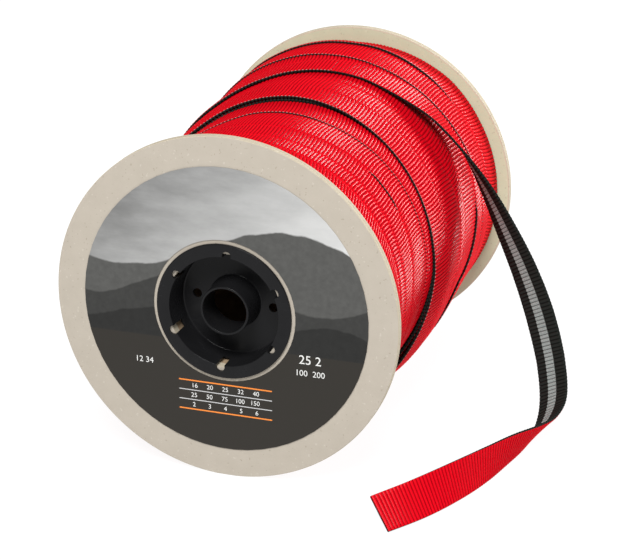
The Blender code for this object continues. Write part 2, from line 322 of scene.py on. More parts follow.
# Dunes, from the farthest: height, swell, waves across, shift along, grey
DUNES = (
    (0.40, 0.17, 2.7, 0.4, 0.080),
    (0.14, 0.13, 3.9, 2.1, 0.036),
    (-0.12, 0.06, 5.2, 4.0, 0.018),
)
DUNE_EDGE = 0.006
for height, swell, waves, shift, grey in DUNES:
    wave = math_node(tree, "SINE", math_node(tree, "MULTIPLY_ADD", right, waves, shift))
    line = math_node(tree, "MULTIPLY_ADD", wave, swell, height)
    rough_line = math_node(tree, "MULTIPLY_ADD", noise(tree, place, 60.0, 3.0), 0.05, line)
    below = ramp(tree, math_node(tree, "SUBTRACT", rough_line, up), -DUNE_EDGE, DUNE_EDGE)
    grain = math_node(tree, "MULTIPLY_ADD", noise(tree, place, 300.0, 3.0), 0.5, 0.75)
    shade = math_node(tree, "MULTIPLY", grain, grey)
    warm_shade = math_node(tree, "MULTIPLY", shade, 0.95)
    dune = add_node(tree, "ShaderNodeCombineColor", {0: shade, 1: shade, 2: warm_shade})
    colour = mix_colours(tree, below, colour, dune.outputs[0])
FIELD_TOP = -0.240
FIELD_EDGE = 0.005
field = ramp(tree, up, FIELD_TOP + FIELD_EDGE, FIELD_TOP - FIELD_EDGE)
colour = mix_colours(tree, field, colour, (0.026, 0.023, 0.019, 1.0))


def away_from(tree, value, middle):
    """How far a value is from a middle: the absolute difference."""
    return math_node(tree, "ABSOLUTE", math_node(tree, "SUBTRACT", value, middle))


# Rules: height, half width, colour
RULES = (
    (-0.530, 0.0035, (0.85, 0.25, 0.04, 1.0)),
    (-0.600, 0.0020, (0.55, 0.55, 0.55, 1.0)),
    (-0.670, 0.0020, (0.55, 0.55, 0.55, 1.0)),
    (-0.740, 0.0035, (0.85, 0.25, 0.04, 1.0)),
)
RULE_REACH = 0.33
RULE_EDGE = 0.002
in_reach = ramp(tree, away_from(tree, right, 0.0), RULE_REACH + 2 * RULE_EDGE, RULE_REACH)
for height, half_width, rgba in RULES:
    in_line = ramp(tree, away_from(tree, up, height), half_width + RULE_EDGE, half_width)
    colour = mix_colours(tree, math_node(tree, "MULTIPLY", in_line, in_reach), colour, rgba)
colour_and_bump(tree, shader, colour, noise(tree, place, 900.0, 2.0), 0.06, 0.0001)
for slot in label_node.material_slots:
    slot.material = print_look

white_print, tree, shader = node_material("white printing", 0.5, 0.3)
place = add_node(tree, "ShaderNodeTexCoord").outputs["Object"]
whites = mix_colours(tree, noise(tree, place, 800.0, 2.0), (0.66, 0.66, 0.64, 1.0), (0.80, 0.80, 0.78, 1.0))
tree.links.new(whites, shader.inputs["Base Color"])

# Rows of numbers: right, height, size in millimetres, the numbers
NUMBER_ROWS = (
    (0.00, -0.580, 4.4, "16     20     25     32     40"),
    (0.00, -0.650, 4.4, "25     50     75    100   150"),
    (0.00, -0.720, 4.4, " 2       3       4       5       6 "),
    (0.60, -0.300, 8.5, "25 2"),
    (0.60, -0.385, 5.6, "100  200"),
    (-0.58, -0.440, 5.6, "12 34"),
)
NUMBER_BEFORE = 0.64
NUMBER_THICK = 0.02
for k, (right_place, height, size, numbers) in enumerate(NUMBER_ROWS):
    text = bpy.data.curves.new("numbers", "FONT")
    text.body = numbers
    text.size = size * MM
    text.align_x = "CENTER"
    text.extrude = NUMBER_THICK * MM
    flat = bpy.data.objects.new("numbers", text)
    bpy.context.scene.collection.objects.link(flat)
    number_mesh = bpy.data.meshes.new_from_object(flat.evaluated_get(bpy.context.evaluated_depsgraph_get()))
    bpy.data.objects.remove(flat, do_unlink=True)
    number_at = ((AXIS_X + right_place * LABEL_OUTER_R) * MM, (FRONT_Y - NUMBER_BEFORE) * MM,
                 (AXIS_Z + height * LABEL_OUTER_R) * MM)
    number_mesh.transform(Matrix.Translation(number_at) @ Matrix.Rotation(np.pi / 2, 4, "X"))
    number_mesh.materials.clear()
    number_mesh.materials.append(white_print)
    row_of_numbers = bpy.data.objects.new(f"printed_numbers_{k + 1}", number_mesh)
    bpy.context.scene.collection.objects.link(row_of_numbers)
    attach(row_of_numbers, "root")

# Card core
# The brown tube that the webbing is wound on, made of strips of card glued in a spiral and cut off square. It
# is held between the boards by the hub inserts, a hair's breadth from each.
CORE_INNER_R = 39.5
CORE_OUTER_R = 43.5
CORE_SIDES = 120
GAP = 0.3
WOUND_FRONT = BOARD_T + GAP
WOUND_REAR = SPOOL_LENGTH - BOARD_T - GAP
card, tree, shader = node_material("brown card", 0.85, 0.2)
place = add_node(tree, "ShaderNodeTexCoord").outputs["Object"]
fibres = noise(tree, moved(tree, "MULTIPLY", place, (1.0, 0.25, 1.0)), 400.0, 4.0, 0.6)
colour = mix_colours(tree, fibres, (0.27, 0.185, 0.11, 1.0), (0.42, 0.31, 0.20, 1.0))
colour_and_bump(tree, shader, colour, fibres, 0.3, 0.0002)
core_section = ((CORE_INNER_R, WOUND_FRONT), (CORE_OUTER_R, WOUND_FRONT), (CORE_OUTER_R, WOUND_REAR),
                (CORE_INNER_R, WOUND_REAR))
core = turned("core", core_section, CORE_SIDES, (card,))
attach(core, "root")
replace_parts(core, "core_tube")

# Hub inserts
# One moulding of black plastic pressed in at each end: a flat rim on the board, a deep dish with a floor, and
# a boss whose bore takes a spindle. Six notches cut the dish's mouth and two holes go through its floor.
HUB_RIM_R = 45.4
HUB_RIM_PROUD = 2.0
HUB_WALL = 1.5
DISH_MOUTH_R = 36.8
DISH_FLOOR_R = 36.0
DISH_DEPTH = 19.5
BOSS_MOUTH_R = 16.3
BOSS_BASE_R = 17.4
BORE_R = 14.8
NOTCHES = 6
NOTCH_R = 3.0
NOTCH_CENTRE_R = 38.0
NOTCH_DEPTH = 12.0
FLOOR_HOLE_R = 3.1
FLOOR_HOLE_AT = 26.0
HUB_TURN = np.radians(4)
HUB_SIDES = 144
PEG_SIDES = 28
PEG_PAST_RIM = 2.0
PEG_PAST_FLOOR = 3.0
MOULDED_EDGE = np.radians(38)

plastic, tree, shader = node_material("black moulded plastic", 0.24, 0.13)
place = add_node(tree, "ShaderNodeTexCoord").outputs["Object"]
smudge = noise(tree, place, 70.0, 3.0, 0.6)
tree.links.new(ramp(tree, smudge, 0.3, 0.7, 0.18, 0.30), shader.inputs["Roughness"])
colour = mix_colours(tree, smudge, (0.007, 0.007, 0.0075, 1.0), (0.012, 0.012, 0.013, 1.0))
colour_and_bump(tree, shader, colour, noise(tree, place, 1500.0, 2.0), 0.10, 0.0001)


def rounded(corners, steps=4):
    """A closed outline with each corner (x, y, radius) turned into a short curve: its points are on a
    quadratic curve from one side to the next, pulled towards the corner."""
    corner = np.array(corners, float)
    at, size = corner[:, :2], corner[:, 2:3]
    to_before = np.roll(at, 1, axis=0) - at
    to_after = np.roll(at, -1, axis=0) - at
    start = at + to_before / np.linalg.norm(to_before, axis=1, keepdims=True) * size
    stop = at + to_after / np.linalg.norm(to_after, axis=1, keepdims=True) * size
    t = np.linspace(0, 1, steps)[None, :, None]
    curve = (1 - t) ** 2 * start[:, None] + 2 * t * (1 - t) * at[:, None] + t**2 * stop[:, None]
    return curve.reshape(-1, 2)


def hub_insert(name, outer_face, inward):
    """The turned moulding with its notches and floor holes cut away by round pegs."""
    rim, back = outer_face - inward * HUB_RIM_PROUD, outer_face - inward * GAP
    floor_y = outer_face + inward * DISH_DEPTH
    under = floor_y + inward * HUB_WALL
    outline = rounded([
        (DISH_MOUTH_R, rim, 0.5), (HUB_RIM_R, rim, 0.6), (HUB_RIM_R, back, 0.15),
        (DISH_MOUTH_R + HUB_WALL, back, 0.15), (DISH_FLOOR_R + HUB_WALL, under, 0.5), (BORE_R, under, 0.3),
        (BORE_R, outer_face, 0.35), (BOSS_MOUTH_R, outer_face, 0.45), (BOSS_BASE_R, floor_y, 0.8),
        (DISH_FLOOR_R, floor_y, 1.2),
    ])
    made = turned(name, outline, HUB_SIDES, (plastic,))
    notch_turns = HUB_TURN + 2 * np.pi * np.arange(NOTCHES) / NOTCHES
    hole_x, hole_z = FLOOR_HOLE_AT * np.cos(HUB_TURN), FLOOR_HOLE_AT * np.sin(HUB_TURN)
    spots = [(NOTCH_CENTRE_R * np.sin(a), NOTCH_CENTRE_R * np.cos(a), NOTCH_R, rim - inward * PEG_PAST_RIM,
              outer_face + inward * NOTCH_DEPTH) for a in notch_turns]
    spots += [(side * hole_x, -side * hole_z, FLOOR_HOLE_R, floor_y - inward * PEG_PAST_FLOOR,
               under + inward * PEG_PAST_FLOOR) for side in (-1, 1)]
    pegs = bmesh.new()
    for x, z, peg_r, y0, y1 in spots:
        peg = bmesh.ops.create_cone(pegs, cap_ends=True, segments=PEG_SIDES, radius1=peg_r * MM,
                                    radius2=peg_r * MM, depth=abs(y1 - y0) * MM)
        bmesh.ops.rotate(pegs, verts=peg["verts"], matrix=Matrix.Rotation(np.pi / 2, 3, "X"))
        bmesh.ops.translate(pegs, verts=peg["verts"],
                            vec=((AXIS_X + x) * MM, (FRONT_Y + (y0 + y1) / 2) * MM, (AXIS_Z + z) * MM))
    peg_mesh = bpy.data.meshes.new("pegs")
    pegs.to_mesh(peg_mesh)
    pegs.free()
    cutter = bpy.data.objects.new("pegs", peg_mesh)
    bpy.context.scene.collection.objects.link(cutter)
    cut = made.modifiers.new("notches and holes", "BOOLEAN")
    cut.operation = "DIFFERENCE"
    cut.solver = "EXACT"
    cut.object = cutter
    cut_mesh = bpy.data.meshes.new_from_object(made.evaluated_get(bpy.context.evaluated_depsgraph_get()))
    made.modifiers.clear()
    made.data = cut_mesh
    bpy.data.objects.remove(cutter, do_unlink=True)
    cut_mesh.shade_smooth()
    cut_mesh.set_sharp_from_angle(angle=MOULDED_EDGE)
    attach(made, "root")
    return made


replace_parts(hub_insert("hub_insert_front", 0.0, 1), "hub_front")
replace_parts(hub_insert("hub_insert_rear", SPOOL_LENGTH, -1), "hub_rear")

# Webbing
# Flat polyester webbing 25 mm wide and 2 mm thick, woven in one piece: a red face with round ribs across it,
# black selvages, and a black ribbed back with a silver-grey stripe down its middle. The rib pitch is 2.6 mm.
WEB_W = 25.0
WEB_T = 2.0
RIB = 2.6
RIB_STEPS = 6
RIB_HEIGHT = 0.65

# The strip's outline, from the front selvage over the red face, round the rear selvage and along the back:
# place across its width, depth under its face, share of the rib's height, and UV height
OUTLINE = (
    (0.000, 0.75, 0.1, 0.00), (0.006, 0.25, 0.5, 0.02), (0.028, 0.02, 1.0, 0.05), (0.12, 0.0, 1.0, 0.12),
    (0.31, 0.0, 1.0, 0.31), (0.50, 0.0, 1.0, 0.50), (0.69, 0.0, 1.0, 0.69), (0.88, 0.0, 1.0, 0.88),
    (0.972, 0.02, 1.0, 0.95), (0.994, 0.25, 0.5, 0.98), (1.000, 0.75, 0.1, 1.00), (1.000, 1.30, 0.1, 1.03),
    (0.985, 1.90, -0.4, 1.06), (0.66, 2.0, -0.7, 1.36), (0.34, 2.0, -0.7, 1.68), (0.015, 1.90, -0.4, 1.97),
    (0.000, 1.30, 0.1, 2.00),
)
UV_END = 2.03

# The weave in UV height: the face's middle, its edges and the stitches beside them, and the back's stripe.
# Each pair is how far from the middle a colour has gone, and how far it is full
FACE_MIDDLE = 0.5
FACE_EDGE = (0.470, 0.462)
STITCH_OUTSIDE = (0.490, 0.478)
STITCH_INSIDE = (0.458, 0.466)
STRIPE_MIDDLE = 1.515
STRIPE_EDGE = (0.152, 0.146)
BLACK_SELVAGE = 0.1
RED_FROM = 0.045
YARNS = 42

webbing, tree, shader = node_material("ribbed webbing", 0.5, 0.0)
shader.inputs["Coat Weight"].default_value = 0.09
shader.inputs["Coat Roughness"].default_value = 0.25
strip_uv = add_node(tree, "ShaderNodeUVMap", uv_map="UVMap").outputs[0]
strip_xyz = add_node(tree, "ShaderNodeSeparateXYZ", {0: strip_uv})
along, over = strip_xyz.outputs[0], strip_xyz.outputs[1]


def crests(tree, value, count):
    """The absolute sine of a value, with so many crests to each whole number."""
    sine = math_node(tree, "SINE", math_node(tree, "MULTIPLY", value, np.pi * count))
    return math_node(tree, "ABSOLUTE", sine)


crest = crests(tree, along, 1)
place = add_node(tree, "ShaderNodeTexCoord").outputs["Object"]
mottle = noise(tree, place, 55.0, 3.0)
# The red is darkest in the rib grooves and full on the crests: painted shade in the hollows between the ribs.
red = mix_colours(tree, ramp(tree, crest, 0.05, 0.75), (0.25, 0.000, 0.003, 1.0), (0.70, 0.003, 0.011, 1.0))
red = mix_colours(tree, ramp(tree, mottle, 0.35, 0.65, 0.0, 0.22), red, (0.51, 0.002, 0.009, 1.0))
# The black back is darkest in the rib grooves: painted shade between the ribs.
black_groove_painted_shade, black_crest = (0.0030, 0.0035, 0.003, 1.0), (0.016, 0.019, 0.017, 1.0)
black = mix_colours(tree, ramp(tree, crest, 0.1, 0.8), black_groove_painted_shade, black_crest)
silver_grain = noise(tree, moved(tree, "MULTIPLY", strip_uv, (3.0, 90.0, 1.0)), 2.2, 2.0)
grey_yarn, silver_yarn = (0.045, 0.054, 0.052, 1.0), (0.46, 0.54, 0.52, 1.0)
silver = mix_colours(tree, ramp(tree, silver_grain, 0.35, 0.65), grey_yarn, silver_yarn)
# The silver goes dark in the rib grooves: painted shade between the ribs.
silver = mix_colours(tree, ramp(tree, crest, 0.0, 0.6), (0.03, 0.03, 0.03, 1.0), silver)
back = mix_colours(tree, ramp(tree, away_from(tree, over, STRIPE_MIDDLE), *STRIPE_EDGE), black, silver)
from_face_middle = away_from(tree, over, FACE_MIDDLE)
stitch = math_node(tree, "MULTIPLY", ramp(tree, from_face_middle, *STITCH_OUTSIDE),
                   ramp(tree, from_face_middle, *STITCH_INSIDE))
stitch = math_node(tree, "MULTIPLY", stitch, ramp(tree, crest, 0.72, 0.92))
colour = mix_colours(tree, ramp(tree, from_face_middle, *FACE_EDGE), back, red)
colour = mix_colours(tree, stitch, colour, (0.62, 0.24, 0.24, 1.0))
yarn = math_node(tree, "MULTIPLY", crests(tree, over, YARNS), 0.5)
weave = math_node(tree, "ADD", yarn, noise(tree, place, 1100.0, 2.0))
colour_and_bump(tree, shader, colour, weave, 0.35, 0.00012)
SINK_REACH = 0.06
SHOULDER = 0.01
CUT_EDGE = np.radians(60)


def ribbed_strip(name, front, rear, face, lean_deg, ribs, closed, front_sink=0.0, rear_sink=0.0, bow=0.0,
                 corner="stitched", first=0, last=None):
    """A strip from its front edge to its rear edge along a path. A point is the front edge's point plus
    `across` times the way to the rear edge, less its depth along the face's normal. Each row of points
    follows one line of the rib pattern, which leans by the given angle and bows a little, and the rib's
    height is the absolute sine of the distance along the path in rib pitches. A sunk edge goes down under its
    neighbour by the given depth. A corner is stitched, plain black, or red to its very edge. Only the columns
    from first to last are made, so that two pieces can share one path."""
    outline = np.array(OUTLINE)
    across, depth, rib_share, uv_over = outline.T
    if corner == "black":
        uv_over = np.where(uv_over < BLACK_SELVAGE, 0.0, uv_over)
        uv_over = np.where((uv_over > 1 - BLACK_SELVAGE) & (uv_over < 1), 1.0, uv_over)
    step = np.linalg.norm(np.diff((front + rear) / 2, axis=0), axis=1)
    length = np.r_[0.0, np.cumsum(step)]
    total = length[-1]
    columns = ribs * RIB_STEPS + (0 if closed else 1)
    phase = np.arange(columns) / RIB_STEPS
    at = phase / ribs * total
    slope = np.tan(np.radians(np.interp(at, length, lean_deg)))
    width = np.interp(at, length, np.linalg.norm(rear - front, axis=1))
    leaned = (across[None, :] - 0.5) * (width * slope)[:, None]
    s = at[:, None] - leaned + bow * 4 * (across * (1 - across))[None, :]
    s = s % total if closed else np.clip(s, 0.0, total)

    def carried(path):
        """The path's point at every place along it."""
        return np.stack([np.interp(s, length, path[:, k]) for k in range(3)], axis=-1)

    start, stop, normal = carried(front), carried(rear), carried(face)
    normal /= np.linalg.norm(normal, axis=-1, keepdims=True)
    rib = np.abs(np.sin(np.pi * phase))[:, None] * rib_share[None, :] * RIB_HEIGHT
    sunk = [np.interp(at, length, np.broadcast_to(sink, length.shape))[:, None]
            * np.clip(1 - from_edge / SINK_REACH, 0, 1)
            for sink, from_edge in ((front_sink, across), (rear_sink, 1 - across))]
    inward = depth[None, :] + RIB_HEIGHT * np.clip(rib_share, 0, 1)[None, :] - rib + sunk[0] + sunk[1]
    points = start + (stop - start) * across[None, :, None] - normal * inward[..., None]
    if last is not None:
        points, phase = points[first:last + 1], phase[first:last + 1]
    rows, n = points.shape[:2]
    spans = rows if closed else rows - 1
    i, j = np.meshgrid(np.arange(spans), np.arange(n), indexing="ij")
    i2, j2 = (i + 1) % rows, (j + 1) % n
    faces = np.stack([i * n + j, i * n + j2, i2 * n + j2, i2 * n + j], axis=-1).reshape(-1, 4)
    over0, over1 = uv_over[j], np.where(j == n - 1, UV_END, uv_over[j2])
    if corner == "red":
        on_top = (over0 > SHOULDER) & (over1 < 1 - SHOULDER)
        over0, over1 = (np.where(on_top, np.clip(over, RED_FROM, 1 - RED_FROM),
                                 np.where(over < 1, np.round(over), over)) for over in (over0, over1))
    phase0, phase1 = phase[i], phase[i] + 1 / RIB_STEPS
    uv = np.stack([np.stack([phase0, over0], -1), np.stack([phase0, over1], -1),
                   np.stack([phase1, over1], -1), np.stack([phase1, over0], -1)], axis=2).reshape(-1, 2)
    made = mesh_object(name, points.reshape(-1, 3), faces, corner_uv=uv, looks=(webbing,))
    if not closed:
        shell = bmesh.new()
        shell.from_mesh(made.data)
        bmesh.ops.holes_fill(shell, edges=[e for e in shell.edges if e.is_boundary], sides=0)
        bmesh.ops.recalc_face_normals(shell, faces=shell.faces)
        shell.to_mesh(made.data)
        shell.free()
    made.data.set_sharp_from_angle(angle=CUT_EDGE)
    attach(made, "root")
    return made


# Wound drum
# Thirteen turns of the same webbing, wound side by side and a little over each other, from the front board to
# the rear one. All but the last are closed rings, since the places where one passes to the next are hidden.
DENSE = np.arange(-180.0, 180.0, 0.5)
RIBS_ROUND = 256


def smoothed(values, reach=9):
    """Values on the dense ring of angles, averaged with their neighbours."""
    kernel = np.hanning(reach + 2)[1:-1]
    wrapped = np.r_[values[-reach:], values, values[:reach]]
    return np.convolve(wrapped, kernel / kernel.sum(), mode="same")[reach:-reach]


def ring(rows, column=1):
    """A table's column at the dense angles, straight between its rows and then smoothed."""
    rows = np.array(rows, float)
    return smoothed(np.interp(DENSE, rows[:, 0], rows[:, column]))


# The drum's radii at angles round the axis. A foot is the surface that a turn rests on, a top its own face
DRUM_COLUMNS = ("around", "front", "second_foot", "second_top", "slack_foot", "slack_front", "slack_back",
                "last_foot", "last_back", "fifth_foot", "fifth_top", "sixth_foot", "sixth_top", "rear")
DRUM = (
    (-180, 98.0, 98.5, 99.0, 99.0, 106.0, 108.5, 109.0, 109.0, 108.5, 109.0, 109.0, 109.5, 108.5),
    (-90, 98.0, 98.8, 99.4, 99.8, 103.5, 106.0, 107.0, 108.5, 109.0, 110.5, 110.0, 110.3, 109.5),
    (-39, 97.0, 98.2, 98.8, 99.5, 102.3, 105.0, 105.6, 107.2, 110.0, 111.0, 110.8, 110.9, 110.2),
    (0, 101.0, 101.6, 102.2, 102.6, 106.3, 106.9, 107.0, 107.2, 107.9, 108.8, 108.2, 108.8, 104.4),
    (40, 104.0, 104.8, 105.4, 106.2, 107.7, 109.0, 107.8, 108.0, 109.3, 110.2, 109.4, 109.9, 107.8),
    (60, 104.5, 105.1, 105.7, 106.4, 107.7, 109.4, 109.0, 109.0, 109.3, 110.2, 109.3, 109.6, 106.6),
    (90, 104.0, 104.5, 104.9, 105.8, 108.0, 110.5, 110.2, 108.8, 108.8, 109.3, 108.9, 108.9, 106.4),
    (123, 102.5, 102.5, 102.6, 101.6, 108.4, 111.8, 111.6, 109.0, 107.6, 107.6, 107.5, 107.5, 107.0),
    (150, 99.0, 99.3, 99.5, 99.0, 109.5, 111.5, 106.0, 105.5, 106.0, 106.5, 106.5, 106.8, 106.5),
    (180, 98.0, 98.5, 99.0, 99.0, 106.0, 108.5, 109.0, 109.0, 108.5, 109.0, 109.0, 109.5, 108.5),
)
radius = {name: ring(DRUM, k) for k, name in enumerate(DRUM_COLUMNS) if k}

# Front edges of the turns: around, behind
first_edge = np.full_like(DENSE, WOUND_FRONT)
kink_1 = ring(((-180, 40), (25, 40.5), (60, 41), (75, 42.5), (120, 40), (180, 40)))
kink_2 = ring(((-180, 56), (20, 54), (40, 55), (60, 55), (75, 52.5), (120, 52), (180, 56)))
kink_3 = ring(((-180, 76), (0, 75), (20, 75), (40, 76.7), (60, 76.2), (70, 74.6), (82, 70), (88, 67),
               (120, 64), (180, 76)))
second_edge = ring(((-180, 86), (-39, 86), (-24, 90), (-10, 100.5), (0, 102), (85, 101.5), (105, 92),
                    (123, 84), (180, 86)))
slack_edge = ring(((-180, 100), (-90, 102), (-39, 108), (-24, 122), (-12, 125), (0, 125.5), (10, 125.4),
                   (20, 123.7), (30, 121.2), (45, 117.5), (60, 113.8), (80, 108.9), (90, 108), (100, 103.5),
                   (123, 92), (150, 94), (180, 100)))
kink_6 = ring(((-180, 165), (-39, 168), (0, 170), (60, 170), (70, 171), (80, 168.5), (90, 165), (100, 155),
               (112, 149), (150, 150), (180, 165)))
kink_7 = ring(((-180, 188), (0, 192), (45, 193), (60, 188), (70, 184.5), (80, 181), (90, 175), (95, 170),
               (101, 160), (112, 152), (150, 156), (180, 188)))
kink_8 = ring(((-180, 210), (64, 212.5), (75, 213), (85, 209), (90, 206), (95.5, 203), (101, 198),
               (105.6, 190), (108, 177), (112, 164), (123, 156), (150, 165), (180, 210)))
fifth_edge = ring(((-180, 222), (-39, 221), (-10, 224), (0, 223.3), (20, 219.3), (40, 217.8), (60, 218.7),
                   (80, 224), (120, 228), (180, 222)))
sixth_edge = ring(((-180, 258), (-39, 256), (-10, 258.7), (10, 256.8), (30, 251), (45, 248), (60, 248.2),
                   (80, 245.5), (120, 250), (180, 258)))
rear_edge = np.full_like(DENSE, WOUND_REAR)


def zone_radius(stations, behind):
    """The drum's radius at one place behind the board for each angle, straight between its stations, each a
    place behind the board and a radius."""
    radii = stations[0][1]
    for (y0, r0), (y1, r1) in zip(stations, stations[1:]):
        share = np.clip((behind - y0) / np.maximum(y1 - y0, 1.0), 0, 1)
        radii = np.where(behind >= y0, r0 + share * (r1 - r0), radii)
    return radii


zone_front = ((first_edge, radius["front"]), (second_edge, radius["second_foot"]))
last_edge = slack_edge + 56
zone_middle = ((slack_edge + WEB_W, radius["slack_back"]), (last_edge, radius["last_foot"]),
               (last_edge + WEB_W, radius["last_back"]), (fifth_edge, radius["fifth_foot"]))

# How far a covered edge goes on under its neighbour, and how far it sinks there
TUCK = 1.4
SINK = 0.9

# Steps up from the radius under a turn: around, step
flush = 0.0 * DENSE
second_step = radius["second_top"] - radius["second_foot"]
third_step = ring(((-180, 0), (40, 0), (45, 0.7), (58, 0.7), (63, 0), (180, 0)))
ninth_step = ring(((-180, 0), (78, 0), (85, 1.2), (108, 1.8), (123, 1.4), (150, 0), (180, 0)))
fifth_step = radius["fifth_top"] - radius["fifth_foot"]
sixth_step = ring(((-180, 1.0), (-60, 1.3), (20, 1.5), (32, 1.2), (44, 0.5), (52, 0), (120, 0), (180, 1.0)))
sixth_base = radius["sixth_foot"] - 0.5
loop_lift = ring(((-180, 0), (108, 0), (123, 0.5), (150, 4.5), (168, 0), (180, 0)))

# The turns: name, front edge, radius under it, step up from that, share of the edge that shows, rear edge,
# radius there, lean of the ribs, bow of the ribs
TURNS = (
    ("turn_01", first_edge, radius["front"], flush,
     ((-180, 1), (180, 1)),
     kink_1, zone_radius(zone_front, kink_1),
     ((-180, 12), (0, 14), (30, 13), (60, 17), (180, 12)), 0.8),
    ("turn_02", kink_1, zone_radius(zone_front, kink_1), flush,
     ((-180, 0), (180, 0)),
     kink_2, zone_radius(zone_front, kink_2),
     ((-180, 0), (20, 1), (50, -2), (180, 0)), -0.5),
    ("turn_03", kink_2, zone_radius(zone_front, kink_2), flush,
     ((-180, 0), (180, 0)),
     kink_3, zone_radius(zone_front, kink_3),
     ((-180, 3), (20, 5), (50, 3), (80, 4), (180, 3)), 0.6),
    ("turn_04", kink_3, zone_radius(zone_front, kink_3), third_step,
     ((-180, 0), (41, 0), (45, 1), (57, 1), (62, 0), (180, 0)),
     second_edge, radius["second_foot"],
     ((-180, 1), (30, -1), (60, 1), (180, 1)), -0.8),
    ("turn_05", second_edge, radius["second_foot"], second_step,
     ((-180, 1), (10, 1), (20, 0.62), (60, 0.62), (85, 0.3), (120, 0), (180, 1)),
     slack_edge, radius["slack_foot"],
     ((-180, 6), (20, 8), (60, 6), (180, 6)), 0.6),
    ("turn_07", slack_edge + WEB_W, radius["slack_back"], flush,
     ((-180, 0), (180, 0)),
     kink_6, zone_radius(zone_middle, kink_6) + loop_lift,
     ((-180, 0), (40, -1), (60, -2), (73, -6), (180, 0)), -0.7),
    ("turn_08", kink_6, zone_radius(zone_middle, kink_6), flush,
     ((-180, 0), (180, 0)),
     kink_7, zone_radius(zone_middle, kink_7),
     ((-180, 5), (180, 5)), 0.8),
    ("turn_09", kink_7, zone_radius(zone_middle, kink_7), flush,
     ((-180, 0), (42, 0), (50, 0.5), (95, 0.5), (105, 0), (180, 0)),
     kink_8, zone_radius(zone_middle, kink_8),
     ((-180, -5), (180, -5)), -0.5),
    ("turn_10", kink_8, zone_radius(zone_middle, kink_8), ninth_step,
     ((-180, 0), (80, 0), (86, 1), (150, 1), (180, 0)),
     fifth_edge, radius["fifth_foot"],
     ((-180, 6), (20, 9), (55, 4), (180, 6)), 0.6),
    ("turn_12", fifth_edge, radius["fifth_foot"], fifth_step,
     ((-180, 1), (0, 1), (60, 0.9), (80, 0.5), (180, 1)),
     sixth_edge, sixth_base,
     ((-180, 2), (-20, 3), (30, 0), (70, -6), (180, 2)), -0.6),
    ("turn_13", sixth_edge, sixth_base, sixth_step,
     ((-180, 1), (38, 1), (46, 0.6), (54, 0), (150, 0), (180, 1)),
     rear_edge, radius["rear"],
     ((-180, -4), (20, -1), (33, -3), (46, -7), (59, -10), (73, -13), (86, -16), (113, -22), (150, -12),
      (180, -4)), 0.7),
)


def ring_point(around, r, behind):
    """A point on a circle about the axis: radius times (sin, cos) of its angle."""
    a = np.radians(around)
    return np.stack([r * np.sin(a), behind, r * np.cos(a)], axis=-1)


def closed_ring(values):
    """Values at the dense angles with the first repeated at the end."""
    return np.append(values, values[0])


def ring_strip(name, front_y, front_r, rear_y, rear_r, lean, front_sink=0.0, rear_sink=0.0, bow=0.0,
               corner="stitched"):
    """One closed turn. Its face's normal is square to its width and to its run round the axis."""
    angle = np.append(DENSE, 180.0)
    front = ring_point(angle, closed_ring(front_r), closed_ring(front_y))
    rear = ring_point(angle, closed_ring(rear_r), closed_ring(rear_y))
    run = np.stack([np.cos(np.radians(angle)), np.zeros_like(angle), -np.sin(np.radians(angle))], axis=-1)
    face = np.cross(run, rear - front)
    face *= np.sign((face * (front * (1, 0, 1))).sum(axis=1, keepdims=True))
    face /= np.linalg.norm(face, axis=1, keepdims=True)
    return ribbed_strip(name, front, rear, face, closed_ring(lean), RIBS_ROUND, True, front_sink, rear_sink,
                        bow, corner)


wound = []
for name, front_y, front_r, step, shown_rows, rear_y, rear_r, lean_rows, bow in TURNS:
    rear_tuck, rear_sink = (0.0, 0.0) if rear_y is rear_edge else (TUCK, SINK)
    hidden = 1 - ring(shown_rows)
    wound.append(ring_strip(name, front_y - TUCK * hidden, front_r + step, rear_y + rear_tuck, rear_r,
                            ring(lean_rows), closed_ring(SINK * hidden), rear_sink, bow))

# Slack turn
# Two layers of the same webbing, wound loosely one on the other, hang clear of the drum low on the right. The
# inner one is seen by its black back and corners.
slack_lean = ring(((-180, 0), (0, 3), (60, 1), (100, -1), (180, 0)))
wound.append(ring_strip("turn_06", slack_edge, radius["slack_front"], slack_edge + WEB_W,
                        radius["slack_back"], slack_lean, bow=0.7))
inner_drop = ring(((-180, 2.4), (-60, 2.4), (-15, 2.7), (0, 2.3), (10, 1.9), (20, 1.8), (95, 1.8), (112, 2.6),
                   (123, 3.9), (135, 4.6), (150, 4.9), (165, 3.5), (180, 2.4)))
inner_back = ring(((-180, 0.3), (8, 0.3), (24, 2.8), (84, 2.8), (95, 0.3), (180, 0.3)))
INNER_SHORT = 3
INNER_REAR_DROP = 0.2
wound.append(ring_strip("turn_06_inner", slack_edge + inner_back, radius["slack_front"] - inner_drop,
                        slack_edge + WEB_W - INNER_SHORT, radius["slack_back"] - inner_drop - INNER_REAR_DROP,
                        slack_lean, corner="black"))

# Turns underneath
# The earlier layers of the same webbing, wound tightly on the core and seen only in the gaps between the
# turns over them. They are one plain round form, given by its radius and distance behind the board.
UNDER_INNER_R = 45.0
UNDER_SIDES = 180
under_section = ((UNDER_INNER_R, WOUND_FRONT), (94.0, WOUND_FRONT), (96.0, 70.0), (97.5, 110.0),
                 (98.5, 150.0), (100.0, 200.0), (100.0, WOUND_REAR), (UNDER_INNER_R, WOUND_REAR))
under = turned("turns_underneath", under_section, UNDER_SIDES, (webbing,))
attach(under, "root")
wound.append(under)

# Last turn and loose end
# The last turn of the webbing comes round the left of the drum, lifts off near the top and becomes the loose
# end, which twists as it falls so that its black back shows, and lies on the surface with its red face up.
LAST_COLUMNS = ("around", "behind", "radius")
LAST_TURN = (
    (-180, 150.0, 107.8),
    (-90, 148.0, 107.4),
    (-39, 152.0, 107.8),
    (-22, 167.0, 108.9),
    (-15, 173.0, 109.0),
    (-8, 178.0, 109.5),
    (0, 183.0, 109.8),
)
LAST_LEAN = 6.0
REAR_EDGE_UP = 0.2

